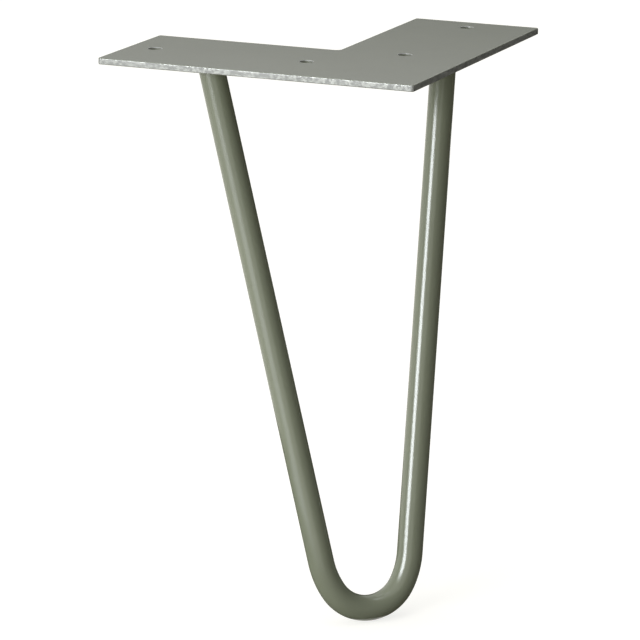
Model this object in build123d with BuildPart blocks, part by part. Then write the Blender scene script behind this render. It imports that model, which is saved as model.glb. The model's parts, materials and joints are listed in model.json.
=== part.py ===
"""Hairpin table leg: one bent steel rod welded under an L-shaped screw plate.

The origin is on the plate's top face, where the two lines of screw holes cross. +Z points up
into the table top, the left arm runs along -X and the right arm along +Y. Seen from the outer
corner of the table, the leg is the same on both sides of the plate's diagonal.
"""

import os
from math import acos, asin, atan2, cos, degrees, hypot, radians

from build123d import *

# Driving dimensions, in millimetres and degrees

# Plate
arm_length = 128.0  # outer corner to the end of each arm
arm_width = 52.0
plate_thickness = 2.5
inner_corner_radius = 2.0
outer_corner_radius = 1.0
edge_round = 0.4  # broken edge along the rims of both faces

# Screw holes, two on the centre line of each arm
hole_diameter = 5.0
hole_pitch = 63.0
hole_end_margin = 11.0  # end of the arm to the nearer hole

# Rod
leg_height = 217.0  # table face to the floor
rod_diameter = 10.0
seat_end_margin = 34.0  # end of the arm to the rod's axis at the plate
foot_setback = 2.0  # foot's distance in from each line of holes
foot_bend_radius = 16.5  # tight bend at the floor, to the rod's axis
lead_bend_radius = 32.0  # wider bend on each side of it, to the rod's axis
lead_bend_angle = 22.5

# Weld beads
weld_leg = 3.0  # along the plate and along the rod
weld_toe = 0.3  # blunt lower lip of the bead

# Places worked out from these sizes

arm_reach = arm_length - arm_width / 2
rod_radius = rod_diameter / 2
underside = Plane.XY.offset(-plate_thickness)
outer_hole = arm_reach - hole_end_margin
inner_hole = outer_hole - hole_pitch
seat_reach = arm_reach - seat_end_margin
left_seat = Vector(-seat_reach, 0, -plate_thickness)
right_seat = Vector(0, seat_reach, -plate_thickness)
foot = Vector(-foot_setback, foot_setback, rod_radius - leg_height)

# The rod lies in one leaning plane through its two seats and its foot. In that plane, x runs
# across from the left seat to the right one and y runs up from the foot.
seat_middle = (left_seat + right_seat) * 0.5
across = (right_seat - left_seat).normalized()
up_the_lean = (seat_middle - foot).normalized()
bend_plane = Plane(origin=foot, x_dir=across, z_dir=across.cross(up_the_lean))
half_span = (right_seat - left_seat).length / 2
lean_height = (seat_middle - foot).length

# Angle between x and a straight run, so that the run leaves the lead bend along its tangent
# and ends at its seat.
bend_offset = lead_bend_radius - (lead_bend_radius - foot_bend_radius) * cos(radians(lead_bend_angle))
rise_over_bend = lean_height - foot_bend_radius
run_angle = degrees(
    atan2(rise_over_bend, half_span) + asin(bend_offset / hypot(half_span, rise_over_bend))
)
foot_half_angle = run_angle - lead_bend_angle

os.makedirs("parts", exist_ok=True)

# Mounting plate: an L cut from sheet, its rims broken and its four screw holes drilled

with BuildPart() as mounting_plate:
    with BuildSketch(underside) as plate_outline:
        with Locations((arm_width / 2, -arm_width / 2)):
            Rectangle(arm_length, arm_width, align=(Align.MAX, Align.MIN))
            Rectangle(arm_width, arm_length, align=(Align.MAX, Align.MIN))
        corners = plate_outline.vertices().sort_by_distance((-arm_width / 2, arm_width / 2, 0))
        fillet(corners[0], radius=inner_corner_radius)
        corners = plate_outline.vertices().sort_by_distance((-arm_width / 2, arm_width / 2, 0))
        fillet(corners[2:], radius=outer_corner_radius)
    extrude(amount=plate_thickness)
    fillet(mounting_plate.faces().filter_by(Axis.Z).edges(), radius=edge_round)
    with Locations(
        (-inner_hole, 0, 0),
        (-outer_hole, 0, 0),
        (0, inner_hole, 0),
        (0, outer_hole, 0),
    ):
        Hole(hole_diameter / 2)
mounting_plate.part.label = "mounting_plate"
export_step(mounting_plate.part, "parts/mounting_plate.step")

# Hairpin rod: a round bar bent in the leaning plane, then cut flush with the plate

with BuildPart() as hairpin_rod:
    with BuildLine(bend_plane) as rod_line:
        foot_bend = CenterArc(
            (0, foot_bend_radius),
            foot_bend_radius,
            start_angle=-90 - foot_half_angle,
            arc_size=2 * foot_half_angle,
        )
        left_lead = JernArc(foot_bend @ 0, foot_bend % 0 * -1, lead_bend_radius, -lead_bend_angle)
        right_lead = JernArc(foot_bend @ 1, foot_bend % 1, lead_bend_radius, lead_bend_angle)
        left_run = Line(left_lead @ 1, left_seat + left_lead % 1 * rod_diameter)
        right_run = Line(right_lead @ 1, right_seat + right_lead % 1 * rod_diameter)
    bar_line = rod_line.wire()
    with BuildSketch(Plane(origin=bar_line @ 0, z_dir=bar_line % 0)):
        Circle(rod_radius)
    sweep(path=bar_line)
    split(bisect_by=underside, keep=Keep.BOTTOM)
hairpin_rod.part.label = "hairpin_rod"
export_step(hairpin_rod.part, "parts/hairpin_rod.step")

# Weld beads: a ring round each end of the rod, wide on the plate and narrow on the rod. Both of
# its rims are ellipses, because the rod meets the plate at a slant.

for name, seat, run in (("left_weld", left_seat, left_run), ("right_weld", right_seat, right_run)):
    along_rod = (run % 1) * -1
    slant = acos(-along_rod.Z)
    lean_direction = degrees(atan2(along_rod.Y, along_rod.X))
    with BuildPart() as weld_bead:
        for depth, width in ((0, weld_leg), (weld_leg, weld_toe)):
            with BuildSketch(Plane(origin=seat + along_rod * (depth / cos(slant)))):
                Ellipse(rod_radius / cos(slant) + width, rod_radius + width, rotation=lean_direction)
        loft(ruled=True)
        add(hairpin_rod.part, mode=Mode.SUBTRACT)
    weld_bead.part.label = name
    export_step(weld_bead.part, f"parts/{name}.step")
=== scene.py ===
# %% [markdown]
# # A hairpin table leg
#
# One round steel bar is bent to a narrow V and welded under an L-shaped plate, and the whole
# leg is then powder coated. This lesson makes the plate, the bar and the two weld beads in the
# order of a metal workshop, coats them, and sets them up as for a catalogue picture.

# %% [markdown]
# ## The measured frame
#
# The solids of the leg were drawn to size beforehand. Loading them gives the box of each part
# and the places of the screw holes and the foot, so nothing here is placed by eye. Blender works
# in metres and a workshop in millimetres, so one factor turns one into the other.

import json
import math

import bpy
from mathutils import Matrix, Vector

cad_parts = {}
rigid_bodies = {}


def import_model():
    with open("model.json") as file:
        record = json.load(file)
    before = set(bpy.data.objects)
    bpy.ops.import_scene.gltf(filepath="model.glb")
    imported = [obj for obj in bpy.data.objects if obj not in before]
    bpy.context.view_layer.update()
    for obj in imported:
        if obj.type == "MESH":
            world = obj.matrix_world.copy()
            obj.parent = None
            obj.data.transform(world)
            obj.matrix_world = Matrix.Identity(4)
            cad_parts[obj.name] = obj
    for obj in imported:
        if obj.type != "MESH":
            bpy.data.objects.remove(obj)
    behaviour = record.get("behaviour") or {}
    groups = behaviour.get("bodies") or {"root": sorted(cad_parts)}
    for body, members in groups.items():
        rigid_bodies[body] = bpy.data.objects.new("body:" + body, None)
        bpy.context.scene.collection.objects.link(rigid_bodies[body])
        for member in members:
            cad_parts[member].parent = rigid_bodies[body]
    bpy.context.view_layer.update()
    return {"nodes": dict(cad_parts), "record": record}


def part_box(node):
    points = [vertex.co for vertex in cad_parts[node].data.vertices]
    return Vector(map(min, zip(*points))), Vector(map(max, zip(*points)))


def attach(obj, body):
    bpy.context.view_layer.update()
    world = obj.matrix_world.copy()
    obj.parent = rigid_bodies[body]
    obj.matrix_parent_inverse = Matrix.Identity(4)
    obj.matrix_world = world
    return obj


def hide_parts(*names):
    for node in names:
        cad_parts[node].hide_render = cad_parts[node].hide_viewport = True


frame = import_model()

mm = 0.001
mounts = {mount["name"]: mount for mount in frame["record"]["mounts"]}
print("nodes:", sorted(frame["nodes"]))

# %% [markdown]
# ## The mounting plate
#
# The real plate is an L cut from 2.5 mm steel sheet. It could be two boxes joined by a Boolean,
# but that leaves a seam where they meet. Here a square stands where the two arms cross, and its
# left and back edges are pulled out to the ends of the arms. So the L has no spare points, and
# its corners round cleanly.
#
# Operators act on whatever is selected. Each step therefore clears the selection and then picks
# edges or faces by where they are, with three small helpers.


# %% Helpers for picking a piece and its parts
def only(piece):
    """Make one object the only selected and active one."""
    for other in bpy.context.scene.objects:
        other.select_set(False)
    piece.select_set(True)
    bpy.context.view_layer.objects.active = piece


def edit(piece, mode):
    """Clear the selection inside one object, in VERT, EDGE or FACE mode."""
    only(piece)
    bpy.ops.object.mode_set(mode="EDIT")
    bpy.ops.mesh.select_mode(type=mode)
    bpy.ops.mesh.select_all(action="DESELECT")
    bpy.ops.object.mode_set(mode="OBJECT")


def pick(parts, test):
    """Select the vertices, edges or faces that pass a test, go to edit mode and count them."""
    count = 0
    for part in parts:
        part.select = bool(test(part))
        count += part.select
    bpy.ops.object.mode_set(mode="EDIT")
    return count


# %% A square where the arms cross
plate_low, plate_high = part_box("mounting_plate")
plate_thickness = plate_high.z - plate_low.z
arm_length = plate_high.x - plate_low.x
half_width = plate_high.x
arm_width = 2 * half_width

bpy.ops.mesh.primitive_plane_add(size=arm_width, location=(0, 0, plate_low.z))
plate = bpy.context.object
bpy.ops.object.transform_apply(location=True, rotation=True, scale=True)
print("arm length, arm width and thickness in mm:")
print([round(size / mm, 2) for size in (arm_length, arm_width, plate_thickness)])

# %% Pull out the two arms
tiny = 0.01 * mm


def ends_of(edge):
    """The places of an edge's two ends on the plate."""
    return [plate.data.vertices[i].co for i in edge.vertices]


def pull_arm(axis, sign):
    """Extrude the square's edge on one side to the end of that arm."""
    edit(plate, "EDGE")

    def on_side(edge):
        ends = ends_of(edge)
        on_line = all(abs(end[axis] - sign * half_width) < tiny for end in ends)
        return on_line and all(abs(end[1 - axis]) < half_width + tiny for end in ends)

    pick(plate.data.edges, on_side)
    pull = Vector((0, 0, 0))
    pull[axis] = sign * (arm_length - arm_width)
    bpy.ops.mesh.extrude_region_move(TRANSFORM_OT_translate={"value": pull})
    bpy.ops.object.mode_set(mode="OBJECT")


pull_arm(0, -1)
pull_arm(1, 1)
print("L outline:", len(plate.data.polygons), "faces")

# %% Give the sheet its thickness
edit(plate, "FACE")
pick(plate.data.polygons, lambda face: True)
bpy.ops.mesh.dissolve_limited(angle_limit=math.radians(1))
bpy.ops.mesh.select_all(action="SELECT")
bpy.ops.mesh.extrude_region_move(TRANSFORM_OT_translate={"value": (0, 0, plate_thickness)})
bpy.ops.mesh.select_all(action="SELECT")
bpy.ops.mesh.normals_make_consistent(inside=False)
bpy.ops.object.mode_set(mode="OBJECT")
print("plate blank:", len(plate.data.vertices), "vertices")

# %% [markdown]
# ## Corners and rims
#
# A sharp corner tears skin and sheds its coat, so a maker rounds the corners of the outline and
# breaks both rims with a file. A Bevel modifier would treat all edges alike. The bevel operator
# on picked edges gives the inner corner, the outer corners and the rims each their own radius.

# %% Round the upright corners
inner_corner_radius = 2.0 * mm
outer_corner_radius = 1.0 * mm
inner_corner = Vector((-half_width, half_width))
inner_reach = inner_corner_radius + tiny


def round_uprights(radius, test):
    """Bevel the upright edges whose place in plan passes a test, and count them."""
    edit(plate, "EDGE")

    def chosen(edge):
        first, second = ends_of(edge)
        return (first - second).xy.length < tiny and test(first.xy)

    count = pick(plate.data.edges, chosen)
    bpy.ops.mesh.bevel(offset=radius, segments=8, affect="EDGES")
    bpy.ops.object.mode_set(mode="OBJECT")
    return count


inner = round_uprights(inner_corner_radius, lambda p: (p - inner_corner).length < inner_reach)
outer = round_uprights(outer_corner_radius, lambda p: (p - inner_corner).length >= inner_reach)
print("rounded", inner, "inner and", outer, "outer corners")

# %% Break the rims
edge_round = 0.4 * mm


def is_level(edge):
    first, second = ends_of(edge)
    return abs(first.z - second.z) < tiny


edit(plate, "EDGE")
rims = pick(plate.data.edges, is_level)
bpy.ops.mesh.bevel(offset=edge_round, segments=5, affect="EDGES")
bpy.ops.object.mode_set(mode="OBJECT")
print(rims, "rim edges broken, plate has", len(plate.data.vertices), "vertices")

# %% [markdown]
# ## The screw holes
#
# Each arm is screwed up through two plain holes on its centre line. The frame's screw patterns
# give their places and radius. The holes could be drawn into the outline from the start, but
# drilling the finished blank keeps the L simple while its corners are rounded. A Boolean with a
# cylinder of the drill's size cuts each hole, and a fine bevel takes the burr off both rims. The
# bevel is what shows in the light: a hole without it looks printed on.

# %% Read where the holes are
hole_centres = []
for pattern in ("left_arm_screws", "right_arm_screws"):
    middle = Vector(mounts[pattern]["pos_m"])
    dims = mounts[pattern]["dims"]
    pitch = Vector((dims.get("spacing_x_mm", 0), dims.get("spacing_y_mm", 0), 0)) * mm
    hole_centres += [middle - pitch / 2, middle + pitch / 2]
hole_radius = mounts["left_arm_screws"]["dims"]["hole_r_mm"] * mm
print(len(hole_centres), "holes of", round(2 * hole_radius / mm, 2), "mm")


# %% Drill the holes
def apply_modifier(piece, kind, **settings):
    """Add one modifier, set it up and apply it."""
    only(piece)
    modifier = piece.modifiers.new(kind.lower(), kind)
    for key, value in settings.items():
        setattr(modifier, key, value)
    bpy.ops.object.modifier_apply(modifier=modifier.name)


drill_length = 4 * plate_thickness
for centre in hole_centres:
    bpy.ops.mesh.primitive_cylinder_add(
        vertices=64, radius=hole_radius, depth=drill_length, location=centre
    )
    drill = bpy.context.object
    apply_modifier(plate, "BOOLEAN", object=drill, operation="DIFFERENCE", solver="EXACT")
    bpy.data.objects.remove(drill)
print("drilled plate:", len(plate.data.vertices), "vertices")

# %% Take off the burr
hole_burr = 0.35 * mm


def on_hole_rim(edge):
    ends = ends_of(edge)
    for centre in hole_centres:
        if all(abs((end - centre).xy.length - hole_radius) < tiny for end in ends):
            return is_level(edge)
    return False


edit(plate, "EDGE")
burrs = pick(plate.data.edges, on_hole_rim)
bpy.ops.mesh.bevel(offset=hole_burr, segments=4, affect="EDGES")
bpy.ops.object.mode_set(mode="OBJECT")
print(burrs, "edges on the rims of the holes")

# %% [markdown]
# ## Shading the plate
#
# Smooth shading rounds the fine bevels, but it also bends the light over the large flat faces.
# The Weighted Normal modifier lets the large faces decide, so that they stay flat. Every finished
# piece is then settled: it is named, its place goes into its mesh, it rides on the leg's one body
# and stands for the solid that it replaces.


# %% Shade and settle the plate
def settle(piece, name, node):
    """Name a finished piece, put its place into its mesh and let it stand for its solid."""
    only(piece)
    bpy.ops.object.transform_apply(location=True, rotation=True, scale=True)
    piece.name = name
    piece.data.name = name
    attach(piece, "root")
    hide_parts(node)
    print(name, "has", len(piece.data.polygons), "faces")


only(plate)
bpy.ops.object.shade_smooth_by_angle(angle=math.radians(35))
apply_modifier(plate, "WEIGHTED_NORMAL", mode="FACE_AREA", weight=100, keep_sharp=True)
settle(plate, "coated_plate", "mounting_plate")

# %% [markdown]
# ## The hairpin rod
#
# A bending machine turns straight bar round a roller. The bar lies in one leaning plane through
# its two seats under the plate and its foot on the floor. It has a tight bend at the foot and a
# wider lead bend on each side of it. The straight runs must leave the lead bends along their
# tangents and still end on the seats. Their angle could be found by trial, but the triangle from
# the foot bend's centre to a seat gives it exactly.

# %% The leaning plane
rod_radius = 5.0 * mm
seat_reach = 68.0 * mm
under = plate_low.z

left_seat = Vector((-seat_reach, 0, under))
right_seat = Vector((0, seat_reach, under))
seat_middle = (left_seat + right_seat) / 2
foot_point = Vector(mounts["floor_contact"]["pos_m"])
foot_axis_point = foot_point + Vector((0, 0, rod_radius))

across = (right_seat - left_seat).normalized()
up_the_lean = (seat_middle - foot_axis_point).normalized()
bend_axis = across.cross(up_the_lean)
half_span = (right_seat - left_seat).length / 2
lean_height = (seat_middle - foot_axis_point).length
print("plane leans", round(math.degrees(up_the_lean.angle(Vector((0, 0, 1)))), 2), "degrees")

# %% The angle of the straight runs
foot_bend_radius = 16.5 * mm
lead_bend_radius = 32.0 * mm
lead_bend_angle = math.radians(22.5)
lead_gap = lead_bend_radius - foot_bend_radius

rise_over_bend = lean_height - foot_bend_radius
bend_offset = lead_bend_radius - lead_gap * math.cos(lead_bend_angle)
seat_angle = math.atan2(rise_over_bend, half_span)
run_angle = seat_angle + math.asin(bend_offset / math.hypot(half_span, rise_over_bend))
foot_half_angle = run_angle - lead_bend_angle
print("the bar turns", round(2 * math.degrees(run_angle), 2), "degrees in all")


# %% Where the bends are
def in_plane(x, y):
    """A point of the bend's own plane, x across and y up from the foot."""
    return foot_axis_point + across * x + up_the_lean * y


foot_centre = in_plane(0, foot_bend_radius)
lead_centre_x = lead_gap * math.sin(foot_half_angle)
lead_centre_y = foot_bend_radius + lead_gap * math.cos(foot_half_angle)
left_lead_centre = in_plane(lead_centre_x, lead_centre_y)
right_lead_centre = in_plane(-lead_centre_x, lead_centre_y)

run_end_x = lead_bend_radius * math.sin(run_angle) - lead_centre_x
run_end_y = lead_centre_y - lead_bend_radius * math.cos(run_angle)
left_run_end = in_plane(-run_end_x, run_end_y)
right_run_end = in_plane(run_end_x, run_end_y)
left_direction = (left_run_end - left_seat).normalized()
right_direction = (right_seat - right_run_end).normalized()
print("straight run:", round((left_run_end - left_seat).length / mm, 2), "mm")

# %% [markdown]
# ## Bending the bar
#
# A curve with a round bevel would give much the same bar. The Spin operator is closer to the
# machine: it carries the end of the bar round an axis and leaves true arcs with even rings of
# faces. The bar starts as a circle above the left seat, runs down, is spun three times, and runs
# up past the right seat. Both ends are then cut flush with the plate, as with a saw. Without a
# window, Spin turns the other way, so its angles are negative.

# %% The first straight run
bar_sides = 72
spare_end = rod_radius
left_start = left_seat - left_direction * spare_end

bpy.ops.mesh.primitive_circle_add(vertices=bar_sides, radius=rod_radius, fill_type="NOTHING")
bar = bpy.context.object
facing_down = left_direction.to_track_quat("Z", "Y").to_matrix().to_4x4()
bar.matrix_world = Matrix.Translation(left_start) @ facing_down
bpy.ops.object.transform_apply(location=True, rotation=True, scale=True)

edit(bar, "VERT")
pick(bar.data.vertices, lambda vertex: True)
bpy.ops.mesh.select_mode(type="EDGE")
bpy.ops.mesh.extrude_region_move(TRANSFORM_OT_translate={"value": left_run_end - left_start})
print("first run drawn with", bar_sides, "sides")

# %% Three bends and the second run
lead_steps = 12
foot_steps = 64
for centre, angle, steps in (
    (left_lead_centre, lead_bend_angle, lead_steps),
    (foot_centre, 2 * foot_half_angle, foot_steps),
    (right_lead_centre, lead_bend_angle, lead_steps),
):
    bpy.ops.mesh.spin(steps=steps, angle=-angle, center=centre, axis=bend_axis)
right_run = right_seat + right_direction * spare_end - right_run_end
bpy.ops.mesh.extrude_region_move(TRANSFORM_OT_translate={"value": right_run})
bpy.ops.mesh.select_all(action="SELECT")
bpy.ops.mesh.remove_doubles(threshold=tiny)
bpy.ops.mesh.normals_make_consistent(inside=False)
bpy.ops.object.mode_set(mode="OBJECT")
print("bent bar:", len(bar.data.vertices), "vertices")


# %% Cut both ends flush and settle the bar
def cut_flush(piece):
    """Cut off all that stands above the plate's underside and close the cut."""
    edit(piece, "FACE")
    pick(piece.data.polygons, lambda face: True)
    bpy.ops.mesh.bisect(
        plane_co=(0, 0, under), plane_no=(0, 0, 1), use_fill=True, clear_outer=True, threshold=tiny
    )
    bpy.ops.mesh.select_all(action="SELECT")
    bpy.ops.mesh.normals_make_consistent(inside=False)
    bpy.ops.object.mode_set(mode="OBJECT")
    only(piece)
    bpy.ops.object.shade_smooth_by_angle(angle=math.radians(40))


cut_flush(bar)
settle(bar, "coated_rod", "hairpin_rod")
rod_low, rod_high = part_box("hairpin_rod")
lowest = min(vertex.co.z for vertex in bar.data.vertices)
print("lowest point", round(lowest / mm, 3), "mm, of the solid", round(rod_low.z / mm, 3), "mm")
print("highest point of the solid", round(rod_high.z / mm, 3), "mm")

# %% [markdown]
# ## The weld beads
#
# Each end of the bar is welded all round, and a hand-laid bead is a row of small overlapping
# puddles. A torus at the bar's end is the start. Every second ring of it is swollen, and a
# subdivision rounds the swellings into ripples. Shrinkwrap then presses its inner half out onto a
# stand-in for the bar. A Boolean would cut that half away, but where so many faces nearly touch
# its result can vary from run to run.

# %% Lay one bead
weld_leg = 2.9 * mm
puddle_pitch = 1.5 * mm
puddle_swell = 0.16 * mm
puddles = round(2 * math.pi * (rod_radius + weld_leg / 2) / puddle_pitch)
stand_in_length = 8 * weld_leg


def puddle_ring(seat):
    """A ring of weld round a seat, with one swelling for each puddle."""
    bpy.ops.mesh.primitive_torus_add(
        location=seat,
        major_radius=rod_radius,
        minor_radius=weld_leg,
        major_segments=2 * puddles,
        minor_segments=16,
    )
    bead = bpy.context.object
    bpy.ops.object.transform_apply(location=True, rotation=True, scale=True)
    edit(bead, "VERT")

    def on_swollen_ring(vertex):
        turn = math.atan2(vertex.co.y - seat.y, vertex.co.x - seat.x) / (2 * math.pi)
        return round(turn * 2 * puddles) % 2 == 0

    pick(bead.data.vertices, on_swollen_ring)
    bpy.ops.transform.shrink_fatten(value=puddle_swell)
    bpy.ops.object.mode_set(mode="OBJECT")
    apply_modifier(bead, "SUBSURF", levels=2, render_levels=2)
    return bead


print(puddles, "puddles to a bead")


# %% Press both beads onto the bar
def press_onto_bar(bead, seat, direction):
    """Move what lies inside the bar out to its surface."""
    bpy.ops.mesh.primitive_cylinder_add(
        vertices=bar_sides,
        radius=rod_radius,
        depth=stand_in_length,
        location=seat,
        rotation=direction.to_track_quat("Z", "Y").to_euler(),
    )
    stand_in = bpy.context.object
    apply_modifier(
        bead, "SHRINKWRAP", target=stand_in, wrap_method="NEAREST_SURFACEPOINT", wrap_mode="OUTSIDE"
    )
    bpy.data.objects.remove(stand_in)


beads = []
for name, node, seat, direction in (
    ("left_weld_bead", "left_weld", left_seat, left_direction),
    ("right_weld_bead", "right_weld", right_seat, right_direction),
):
    bead = puddle_ring(seat)
    press_onto_bar(bead, seat, direction)
    cut_flush(bead)
    settle(bead, name, node)
    beads.append(bead)

# %% [markdown]
# ## The powder coat
#
# Powder is sprayed on and baked to one skin of polyester, about 0.08 mm thick. The skin is a
# plain dielectric, so its gloss comes from an index of refraction near 1.5. It is never quite
# flat: it keeps a slow ripple called orange peel, a finer grain, and a slow drift of colour where
# the powder lay thicker. An image could be wrapped round the bar, but noise on Object coordinates
# has no seams and keeps its real size on every piece.


# %% Colour and node helpers
def srgb(hex_code):
    """An sRGB hex colour as the linear RGBA that the shader wants."""
    values = [int(hex_code[i : i + 2], 16) / 255 for i in (1, 3, 5)]
    linear = [v / 12.92 if v <= 0.04045 else ((v + 0.055) / 1.055) ** 2.4 for v in values]
    return (*linear, 1.0)


def add_node(tree, kind, settings=None, links=None):
    """Add one node, set its properties and inputs, and link the inputs that get a socket."""
    node = tree.nodes.new(kind)
    for key, value in (settings or {}).items():
        if isinstance(key, int) or key in node.inputs:
            node.inputs[key].default_value = value
        else:
            setattr(node, key, value)
    for key, socket in (links or {}).items():
        tree.links.new(socket, node.inputs[key])
    return node


print("mid grey is", [round(v, 3) for v in srgb("#808080")])

# %% The coat
drift_size = 30 * mm
peel_size = 1.6 * mm
peel_depth = 0.003 * mm
grain_size = 0.25 * mm  # real grains are about 0.04 mm, drawn coarser so that they show
grain_depth = 0.001 * mm
polyester_ior = 1.5
first_colour, second_colour, mixed_colour = 6, 7, 2  # places of the colour sockets on a Mix node


def powder_coat(name, colour, tint, roughness):
    """Baked polyester powder: a soft gloss over orange peel, fine grain and a drift of colour."""
    material = bpy.data.materials.new(name)
    material.use_nodes = True
    tree = material.node_tree
    shader = tree.nodes["Principled BSDF"]
    shader.inputs["Roughness"].default_value = roughness
    shader.inputs["IOR"].default_value = polyester_ior
    place = {"Vector": add_node(tree, "ShaderNodeTexCoord").outputs["Object"]}

    drift = add_node(tree, "ShaderNodeTexNoise", {"Scale": 1 / drift_size, "Detail": 3.0}, place)
    tones = {"data_type": "RGBA", first_colour: srgb(colour), second_colour: srgb(tint)}
    mix = add_node(tree, "ShaderNodeMix", tones, {"Factor": drift.outputs["Fac"]})
    tree.links.new(mix.outputs[mixed_colour], shader.inputs["Base Color"])

    grain = add_node(tree, "ShaderNodeTexNoise", {"Scale": 1 / grain_size, "Detail": 2.0}, place)
    peel = add_node(tree, "ShaderNodeTexNoise", {"Scale": 1 / peel_size, "Detail": 1.0}, place)
    fine = add_node(
        tree, "ShaderNodeBump", {"Distance": grain_depth}, {"Height": grain.outputs["Fac"]}
    )
    relief = {"Height": peel.outputs["Fac"], "Normal": fine.outputs["Normal"]}
    bump = add_node(tree, "ShaderNodeBump", {"Distance": peel_depth}, relief)
    tree.links.new(bump.outputs["Normal"], shader.inputs["Normal"])
    return material


# Semi-gloss grey-green powder on round bar: a clear bright line along the bar, soft at its sides
rod_coat = powder_coat("grey_green_powder_coat", "#878B75", "#818570", 0.19)

# Same powder on flat sheet: a little duller, and greyer as a painted sheen of neutral reflection
sheet_coat_with_painted_sheen = powder_coat("grey_green_powder_coat_on_sheet_greyed_as_painted_sheen", "#87897A", "#808274", 0.24)
print("made", rod_coat.name, "and", sheet_coat_with_painted_sheen.name)

# %% [markdown]
# ## The cut edge
#
# Powder draws back from a sharp cut edge as it melts, so the coat there is thin and the bright
# steel glints through in spots. One material with a mask could show that, but a second material
# on picked faces has a clean border. The spots are a noise that raises the Metallic value, and
# they are about as large as the marks of a shear.

# %% Thin coat on the cut edge
spot_size = 1.2 * mm
spot_range = {"From Min": 0.44, "From Max": 0.57, "To Min": 0.0, "To Max": 0.42}

# Thin pale powder over sheared steel: light grey, rather dull, with bright metal spots
edge_coat = powder_coat("thin_powder_coat_on_cut_edge", "#A3A49E", "#8E8F88", 0.3)
tree = edge_coat.node_tree
place = {"Vector": add_node(tree, "ShaderNodeTexCoord").outputs["Object"]}
spots = add_node(tree, "ShaderNodeTexNoise", {"Scale": 1 / spot_size, "Detail": 2.0}, place)
bare = add_node(tree, "ShaderNodeMapRange", spot_range, {"Value": spots.outputs["Fac"]})
tree.links.new(bare.outputs["Result"], tree.nodes["Principled BSDF"].inputs["Metallic"])
print("made", edge_coat.name)

# %% Coat the pieces
# The plate takes the greyer copy of the coat, whose grey is painted sheen
for piece in (bar, plate, *beads):
    piece.data.materials.clear()
    piece.data.materials.append(sheet_coat_with_painted_sheen if piece is plate else rod_coat)
plate.data.materials.append(edge_coat)

# How far a face looks up or down: 0 on an upright wall, 1 on the flat of the sheet
steep = 0.3
hole_wall = 0.1
flat = 0.99


def on_cut_edge(face):
    """True on the outer cut edge and on the deburred rims of the holes."""
    tilt = abs(face.normal.z)
    reach = min((face.center - centre).xy.length for centre in hole_centres)
    if reach < hole_radius + hole_burr:
        return hole_wall < tilt < flat
    return tilt < steep


edit(plate, "FACE")
cut_faces = pick(plate.data.polygons, on_cut_edge)
plate.active_material_index = 1
bpy.ops.object.material_slot_assign()
bpy.ops.object.mode_set(mode="OBJECT")
print(cut_faces, "faces of the plate are cut edges")

# %% [markdown]
# ## The floor
#
# The leg stands on a plain matt floor that looks white. Strong lamps could make it white, but
# they would also bleach the leg. A Light Path node does it instead: rays from the camera, from
# gloss and through glass see some white light added, and all other rays see grey paint. The leg's
# shadow stays, because the paint is still lit.


# %% Floor
def seen_as_white(tree, share):
    """The share of white that camera, gloss and glass rays see, and other rays don't."""
    ray = add_node(tree, "ShaderNodeLightPath").outputs
    either = {"operation": "MAXIMUM"}
    mirrored = {0: ray["Is Glossy Ray"], 1: ray["Is Transmission Ray"]}
    mirror = add_node(tree, "ShaderNodeMath", either, mirrored)
    seen = add_node(tree, "ShaderNodeMath", either, {0: ray["Is Camera Ray"], 1: mirror.outputs[0]})
    part = add_node(tree, "ShaderNodeMath", {"operation": "MULTIPLY", 1: share}, {0: seen.outputs[0]})
    return part.outputs[0]


floor_size = 12
paper_white = srgb("#FFFFFD")
floor_white_share = 0.76

bpy.ops.mesh.primitive_plane_add(size=floor_size, location=(0, 0, foot_point.z))
floor = bpy.context.object
floor.name = "floor"

# Matt grey floor paint: no gloss, so it takes a soft shadow and mirrors nothing
floor_paint = bpy.data.materials.new("matt_grey_floor_paint")
floor_paint.use_nodes = True
tree = floor_paint.node_tree
ground = tree.nodes["Principled BSDF"]
ground.inputs["Base Color"].default_value = srgb("#B4B0A6")
ground.inputs["Roughness"].default_value = 0.9
ground.inputs["Emission Color"].default_value = paper_white
tree.links.new(seen_as_white(tree, floor_white_share), ground.inputs["Emission Strength"])
floor.data.materials.append(floor_paint)
print("floor at", round(foot_point.z / mm, 2), "mm")

# %% [markdown]
# ## Daylight
#
# The room is lit from the left and is dimmer on the right, as beside a window. A world of one
# strength would flatten the round bar. So the strength falls off with the direction: its dot
# product with the dim side goes through Map Range to the Background node. What the camera and the
# gloss see of the world is plain white, as on the floor.

# %% World
window_strength = 0.74
dim_strength = 0.2
dim_azimuth = 108


def toward(azimuth, elevation):
    """Direction from the leg: azimuth 0 is the front, along -Y, and 90 is the right, along +X."""
    turn, rise = math.radians(azimuth), math.radians(elevation)
    level = math.cos(rise)
    return Vector((math.sin(turn) * level, -math.cos(turn) * level, math.sin(rise)))


world = bpy.data.worlds.new("white_studio")
bpy.context.scene.world = world
world.use_nodes = True
tree = world.node_tree
ambient = tree.nodes["Background"]
ambient.inputs["Color"].default_value = srgb("#F4F6F8")
sky = add_node(tree, "ShaderNodeTexCoord").outputs["Generated"]
dimness = add_node(
    tree, "ShaderNodeVectorMath", {"operation": "DOT_PRODUCT", 1: toward(dim_azimuth, 0)}, {0: sky}
)
fall_off = {"From Min": -0.15, "From Max": 0.25, "To Min": window_strength, "To Max": dim_strength}
level = add_node(tree, "ShaderNodeMapRange", fall_off, {"Value": dimness.outputs["Value"]})
tree.links.new(level.outputs["Result"], ambient.inputs["Strength"])
backdrop = add_node(tree, "ShaderNodeBackground", {"Color": paper_white, "Strength": 1.0})
layers = {0: seen_as_white(tree, 1.0), 1: ambient.outputs[0], 2: backdrop.outputs[0]}
blend = add_node(tree, "ShaderNodeMixShader", {}, layers)
tree.links.new(blend.outputs[0], tree.nodes["World Output"].inputs["Surface"])
print("daylight from", window_strength, "down to", dim_strength)

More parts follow.
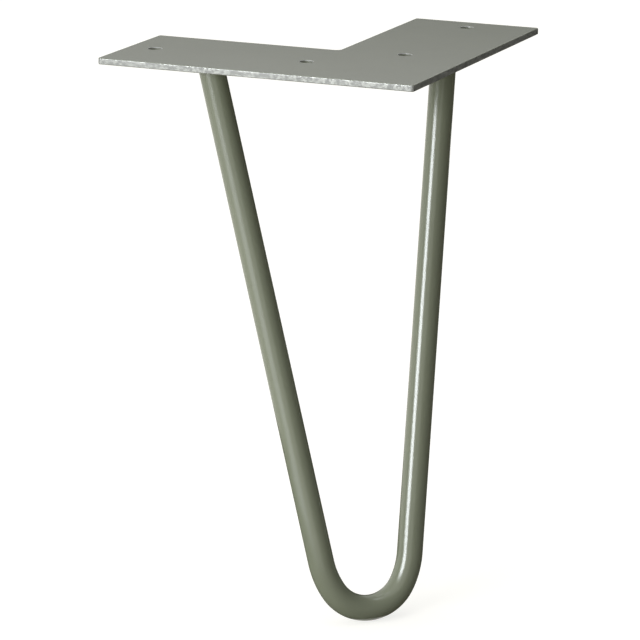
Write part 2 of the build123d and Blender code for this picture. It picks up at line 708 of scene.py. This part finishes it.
# %% [markdown]
# ## Lamps
#
# One strip light shades the leg from the front left, and a softbox overhead lights the plate. The
# bright line down the right run is the reflection of a tall strip, and the soft line down the
# left run is that of a low softbox and of a panel on the floor. The tall strip and the panel only
# show in the gloss, so that the line can be long without too much light on the leg. A lamp's
# power is its brightness times its area times pi.

# %% Lamps
look_at = Vector((-39.13, 38.0, -110.16)) * mm
lamp_white = srgb("#F4F8FF")[:3]
strip_distance = 2.4
panel_lift = 2 * mm


def softbox(name, place, aim, width, height, brightness, shades=True, glints=True):
    """An area lamp at a place, turned to a point, for the shading, the gloss or both."""
    light = bpy.data.lights.new(name, "AREA")
    light.shape = "RECTANGLE"
    light.size = width
    light.size_y = height
    light.energy = brightness * width * height * math.pi
    light.color = lamp_white
    lamp = bpy.data.objects.new(name, light)
    bpy.context.scene.collection.objects.link(lamp)
    lamp.location = place
    lamp.rotation_euler = (aim - place).to_track_quat("-Z", "Y").to_euler()
    lamp.visible_camera = False
    lamp.visible_diffuse = shades
    lamp.visible_glossy = glints
    print(name, round(light.energy, 2), "W")


strip_place = look_at + toward(-18, 14.6) * strip_distance
softbox("strip_light", strip_place, look_at, width=1.05, height=0.42, brightness=14, glints=False)
tall_place = look_at + toward(-20, 17.0) * strip_distance
softbox("tall_strip", tall_place, look_at, width=1.05, height=1.2, brightness=17, shades=False)
top_place = Vector((-0.1, 0.1, 1.5))
softbox("top_softbox", top_place, look_at, width=1.0, height=1.0, brightness=2.9)
low_place = Vector((-118, -245, -122)) * mm
softbox("low_softbox", low_place, look_at, width=0.19, height=0.185, brightness=1.65)
panel_place = Vector((-75 * mm, -150 * mm, foot_point.z + panel_lift))
above_panel = panel_place + Vector((0, 0, 1))
softbox("floor_panel", panel_place, above_panel, width=0.17, height=0.19, brightness=3.0, shades=False)

# %% [markdown]
# ## Black cards
#
# In a white room the sides of a glossy bar fade into the background. The coat could be darkened
# towards its rims, but that would look painted on. A photographer stands black cards beside the
# bar, and their reflections draw its dark outline. These cards only show in the gloss: they hide
# no light and throw no shadow. One stands on the right, one behind the plate, and one lies on the
# floor.

# %% Cards
card_lift = 2 * mm

# Matt black card: dark and without gloss, seen only as a reflection
card_paint = bpy.data.materials.new("black_card")
card_paint.use_nodes = True
card_shader = card_paint.node_tree.nodes["Principled BSDF"]
card_shader.inputs["Base Color"].default_value = srgb("#141414")
card_shader.inputs["Roughness"].default_value = 1.0


def dark_card(name, middle, facing, width, height):
    """A black card that only shows in the gloss."""
    bpy.ops.mesh.primitive_plane_add(size=1, location=middle)
    card = bpy.context.object
    card.name = name
    card.scale = (width, height, 1)
    card.rotation_euler = facing.to_track_quat("Z", "Y").to_euler()
    card.data.materials.append(card_paint)
    card.visible_camera = False
    card.visible_diffuse = False
    card.visible_shadow = False
    print(name, width, "x", height, "m")


def standing_card(name, azimuth, distance, middle_height, width, height):
    """A black card that stands round the leg and faces it."""
    middle = look_at + toward(azimuth, 0) * distance
    middle.z = middle_height
    dark_card(name, middle, -toward(azimuth, 0), width, height)


standing_card("right_card", azimuth=108, distance=0.45, middle_height=0.5, width=2.2, height=1.42)
standing_card("back_card", azimuth=180, distance=0.9, middle_height=0.003, width=1.4, height=0.44)
floor_card_place = Vector((0.25, 0.25, foot_point.z + card_lift))
dark_card("floor_card", floor_card_place, Vector((0, 0, 1)), width=0.9, height=1.1)

# %% [markdown]
# ## The camera
#
# A long lens from well back keeps the two runs of the bar nearly parallel to the eye. The camera
# looks a little down on the plate from its front right. It is placed by direction and distance
# from the point that it looks at, which is easier to adjust than three coordinates.

# %% Camera
camera_azimuth = 23.978
camera_elevation = 14.999
camera_roll = 0.129
camera_distance = 1374.5 * mm
focal_length = 197.66
sensor_width = 36.0

lens = bpy.data.cameras.new("camera")
lens.sensor_width = sensor_width
lens.lens = focal_length
camera = bpy.data.objects.new("camera", lens)
bpy.context.scene.collection.objects.link(camera)
back = toward(camera_azimuth, camera_elevation)
camera.location = look_at + back * camera_distance
roll = Matrix.Rotation(math.radians(camera_roll), 3, "Z")
camera.rotation_euler = ((-back).to_track_quat("-Z", "Y").to_matrix() @ roll).to_euler()
bpy.context.scene.camera = camera
bpy.context.scene.view_settings.view_transform = "Standard"
print("camera at", [round(v, 3) for v in camera.location])
